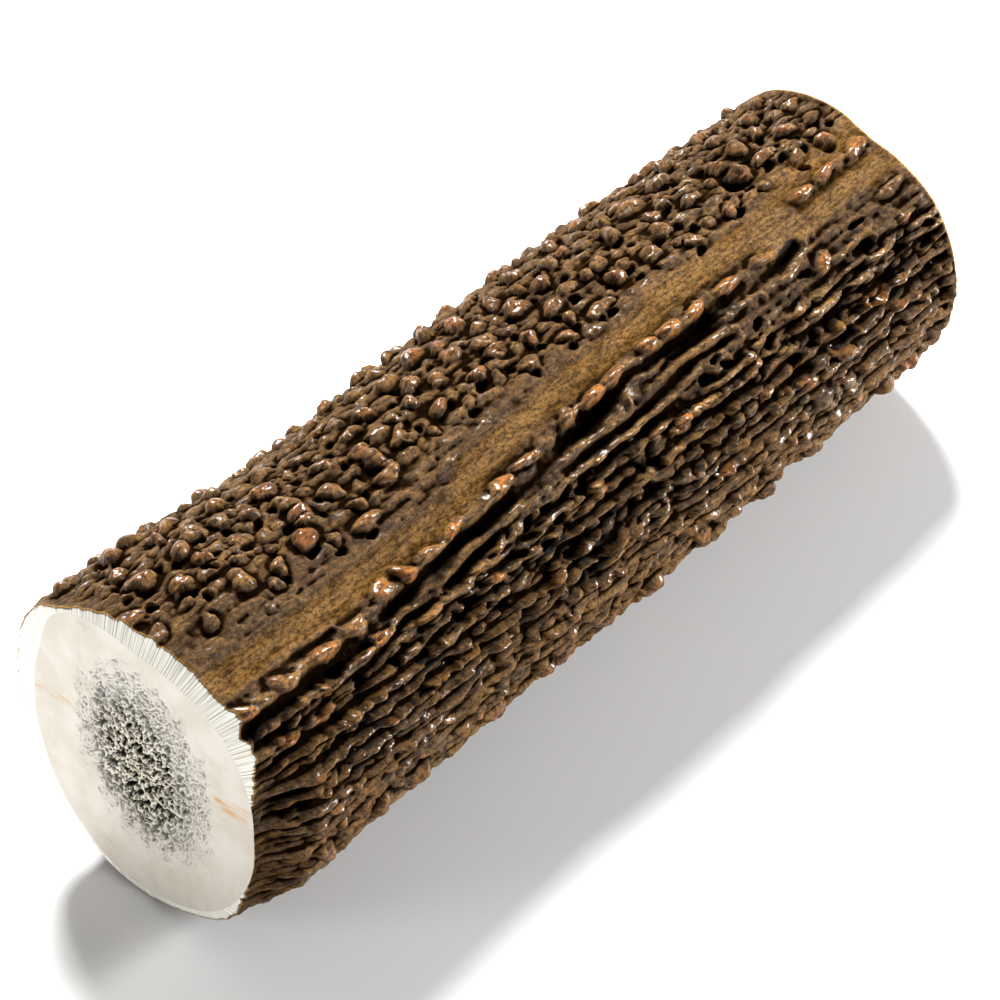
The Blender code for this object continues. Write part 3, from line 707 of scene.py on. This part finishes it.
def skin_material():
    n = Nodes("antler_skin")
    spread = n.vector("unrolled")
    fibre = n.noise(0.4, 5, 0.75, (0.08, 1, 1), spread)
    streak = n.noise(0.9, 4, 0.65, (0.06, 1, 1), spread)
    grain = n.noise(0.5, 6, 0.9, (0.7, 1, 1), spread)
    speckle = n.noise(1.3, 5, 0.85, (0.5, 1, 1), spread)
    patch = n.noise(4, 4, 0.65, (0.5, 1, 1))
    crease, hollow, tone = n.mask("crease"), n.mask("hollow"), n.mask("tone")
    pearl, bead, smooth, groove = n.mask("pearl"), n.mask("bead"), n.mask("smooth"), n.mask("groove")

    # Brown and tan streaks, greyer patches, and the paler channel
    colour = n.mix(n.step(streak, 0.3, 0.7), BROWN, TAN)
    colour = n.mix(n.times(n.step(patch, 0.45, 0.62), 0.5), colour, GREY_BROWN)
    colour = n.mix(n.times(smooth, 0.6), colour, n.mix(n.step(streak, 0.3, 0.7), TAN, PALE_TAN))
    # Darker between the pearls, beside the channel and on the near side
    dusky = n.times(n.mask("pearled"), n.step(patch, 0.35, 0.6, 0.6, 0.0))
    flank = n.times(n.mask("beside"), n.step(smooth, 0.1, 0.8, 0.5, 0.0))
    dusky = n.larger(n.larger(dusky, flank), n.times(n.mask("busy"), 0.45))
    colour = n.mix(dusky, colour, DARK_BROWN)
    # Paler crests, partly rubbed wear and partly painted light on the raised tops, and reddish pearls and
    # amber beads
    crest = n.step(n.times(hollow, -1.0), 0.05, 0.5)
    crest_share = n.step(n.mask("pearled"), 0, 1, 0.65, 0.35)
    colour = n.mix(n.times(crest, crest_share), colour, TAN)
    pearl_top = n.times(n.step(pearl, 0.3, 0.9), n.step(tone, 0.0, 0.9, 0.2, 1.0))
    colour = n.mix(n.times(pearl_top, n.step(patch, 0.35, 0.55, 0.4, 1.0)), colour, RED_BROWN)
    bead_top = n.times(n.step(bead, 0.3, 0.85), n.step(tone, 0.1, 0.9, 0.2, 0.85))
    colour = n.mix(n.times(bead_top, n.step(grain, 0.3, 0.5, 0.4, 1.0)), colour, AMBER)
    # Grain and fibres, then painted shade: near black in the hollows, creases, grooves and pits, over the
    # darker stain they have
    colour = n.mix(n.times(n.step(grain, 0.43, 0.53, 1, 0), 0.85), colour, DARK_BROWN)
    colour = n.mix(n.times(n.step(speckle, 0.42, 0.52, 1, 0), 0.65), colour, DARK_BROWN)
    colour = n.mix(n.times(n.step(grain, 0.54, 0.64), 0.6), colour, PALE_TAN)
    colour = n.mix(n.times(n.step(fibre, 0.36, 0.52, 1, 0), 0.5), colour, NEAR_BLACK)
    # Painted shade: where the skin lies low, in hollows and creases, its colour goes near black
    low = n.larger(n.step(hollow, -0.12, 0.22), n.step(crease, 0.0, 0.12))
    colour = n.mix(n.times(low, n.step(smooth, 0, 1, 0.95, 0.3)), colour, NEAR_BLACK)
    # Dark dirt and painted shade: the grooves and pits coloured near black
    colour = n.mix(n.times(n.step(groove, 0.3, 1.0), 0.95), colour, NEAR_BLACK)

    # Filed bone on the bevels, with a rusty fringe where the skin stops
    hatch = n.noise(0.2, 2, 0.5, (0.05, 1, 1), spread)
    ragged = n.plus(n.mask("sawn"), n.minus(hatch, 0.5))
    bone = n.mix(n.step(hatch, 0.35, 0.6), IVORY, FILED_BONE)
    fringe = n.step(ragged, 0.0, 0.3)
    colour = n.mix(n.step(ragged, -0.4, 0.0), colour, RUST)
    colour = n.mix(fringe, colour, bone)
    n.put(n.shader.inputs["Base Color"], colour)

    # Only what stands proud has been rubbed shiny
    gloss = n.larger(n.step(pearl, 0.3, 0.9), n.step(bead, 0.3, 0.8))
    gloss = n.times(gloss, n.step(tone, 0.0, 0.9, 0.15, 0.9))
    gloss = n.larger(gloss, n.times(crest, n.step(patch, 0.4, 0.6, 0.05, 0.75)))
    gloss = n.times(gloss, n.step(grain, 0.4, 0.55, 0.2, 1.0))
    n.shader.inputs["Roughness"].default_value = 0.6
    # Where the hollows are painted shade, their specular is turned off too
    n.put(n.shader.inputs["Specular IOR Level"], n.step(low, 0, 1, 0.1, 0.0))
    n.put(n.shader.inputs["Coat Weight"], n.times(gloss, n.step(fringe, 0, 1, 0.75, 0.0)))
    n.shader.inputs["Coat Roughness"].default_value = 0.17
    bark = n.step(fringe, 0, 1, 1, 0)
    bumps = n.bump(n.times(fibre, bark), 0.3)
    bumps = n.bump(n.times(grain, bark), 0.5, after=bumps)
    bumps = n.bump(n.times(hatch, fringe), 0.03, after=bumps)
    n.put(n.shader.inputs["Normal"], bumps)
    return n.material


def sawn_material():
    n = Nodes("sawn_bone")
    cloud = n.noise(5, 3)
    fine = n.noise(0.3, 3, 0.7)
    saw = n.noise(0.3, 3, 0.6, (1, 1, 0.05))
    pore, dark, core = n.mask("pore"), n.mask("dark"), n.mask("core")
    colour = n.mix(n.step(cloud, 0.35, 0.65), IVORY, WHITE_BONE)
    colour = n.mix(n.times(n.step(saw, 0.55, 0.75), 0.15), colour, CORE_GREY)
    colour = n.mix(n.times(core, 0.75), colour, n.mix(n.step(fine, 0.4, 0.6), CORE_GREY, IVORY))
    colour = n.mix(n.times(dark, 0.7), colour, n.mix(n.step(fine, 0.4, 0.65), KHAKI, IVORY))
    deep = n.times(n.step(pore, 0.05, 0.3), n.step(dark, 0, 0.7, 0.4, 1.0))
    colour = n.mix(deep, colour, PORE_DARK)
    rusty = n.noise(0.35, 3, 0.6, (1, 0.1, 1))
    colour = n.mix(n.times(n.mask("rust"), n.step(rusty, 0.35, 0.6, 0.1, 1.0)), colour, RUST)
    colour = n.mix(n.times(n.mask("stain"), n.step(fine, 0.4, 0.6, 0.1, 0.45)), colour, OLIVE)
    n.put(n.shader.inputs["Base Color"], colour)
    n.shader.inputs["Roughness"].default_value = 0.5
    n.put(n.shader.inputs["Normal"], n.bump(saw, 0.04, after=n.bump(fine, 0.05)))
    return n.material


def make_camera():
    azimuth, elevation = math.radians(VIEW_AZIMUTH), math.radians(VIEW_ELEVATION)
    back = Vector((
        math.sin(azimuth) * math.cos(elevation),
        -math.cos(azimuth) * math.cos(elevation),
        math.sin(elevation),
    ))
    right = Vector((math.cos(azimuth), math.sin(azimuth), 0))
    up = back.cross(right)
    middle = Vector((0, 0, MEAN_RADIUS + AXIS_LIFT)) * MM
    aim = middle + (right * AIM_RIGHT + up * AIM_UP) * MM
    camera = bpy.data.objects.new("camera", bpy.data.cameras.new("camera"))
    camera.data.lens = VIEW_LENS
    camera.data.sensor_width = SENSOR
    camera.location = aim + back * VIEW_DISTANCE
    camera.rotation_euler = back.to_track_quat("Z", "Y").to_euler()
    bpy.context.scene.collection.objects.link(camera)
    bpy.context.scene.camera = camera
    return back, right, up


def area_light(name, direction, size, power):
    light = bpy.data.lights.new(name, "AREA")
    light.shape = "DISK"
    light.size = size
    light.energy = power
    obj = bpy.data.objects.new(name, light)
    direction = direction.normalized()
    obj.location = direction * LIGHT_DISTANCE
    obj.rotation_euler = direction.to_track_quat("Z", "Y").to_euler()
    bpy.context.scene.collection.objects.link(obj)


def make_stage(back, right, up):
    bpy.ops.mesh.primitive_plane_add(size=FLOOR_SIZE)
    floor = bpy.context.object
    floor.name = "floor"
    n = Nodes("pale_floor")
    n.put(n.shader.inputs["Base Color"], n.mix(n.noise(40, 2), FLOOR_GREY, FLOOR_WHITE))
    n.shader.inputs["Roughness"].default_value = 0.9
    floor.data.materials.append(n.material)
    area_light("key", up - right * 0.1 + back * 0.06, size=0.34, power=34)
    area_light("far_side", right * 0.8 + up * 0.35 - back * 0.1, size=0.22, power=18)
    area_light("face_side", Vector((-0.85, 0.4, 0.35)), size=0.3, power=2)
    world = bpy.data.worlds.new("studio")
    world.use_nodes = True
    background = world.node_tree.nodes["Background"]
    background.inputs["Color"].default_value = (1, 1, 1, 1)
    background.inputs["Strength"].default_value = WORLD_STRENGTH
    bpy.context.scene.world = world
    bpy.context.scene.view_settings.view_transform = "Standard"


back, right, up = make_camera()
make_stage(back, right, up)

skin = make_skin()
bark = skin_material()
for piece in skin:
    piece.data.materials.append(bark)
near_face = make_face("near_sawn_face", 0, NEAR_FACE, SEED + 20)
far_face = make_face("far_sawn_face", LENGTH, FAR_FACE, SEED + 21)
bone = sawn_material()
for piece in (near_face, far_face):
    piece.data.materials.append(bone)
for piece in (*skin, near_face, far_face):
    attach(piece, "root")
    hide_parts("antler_beam")
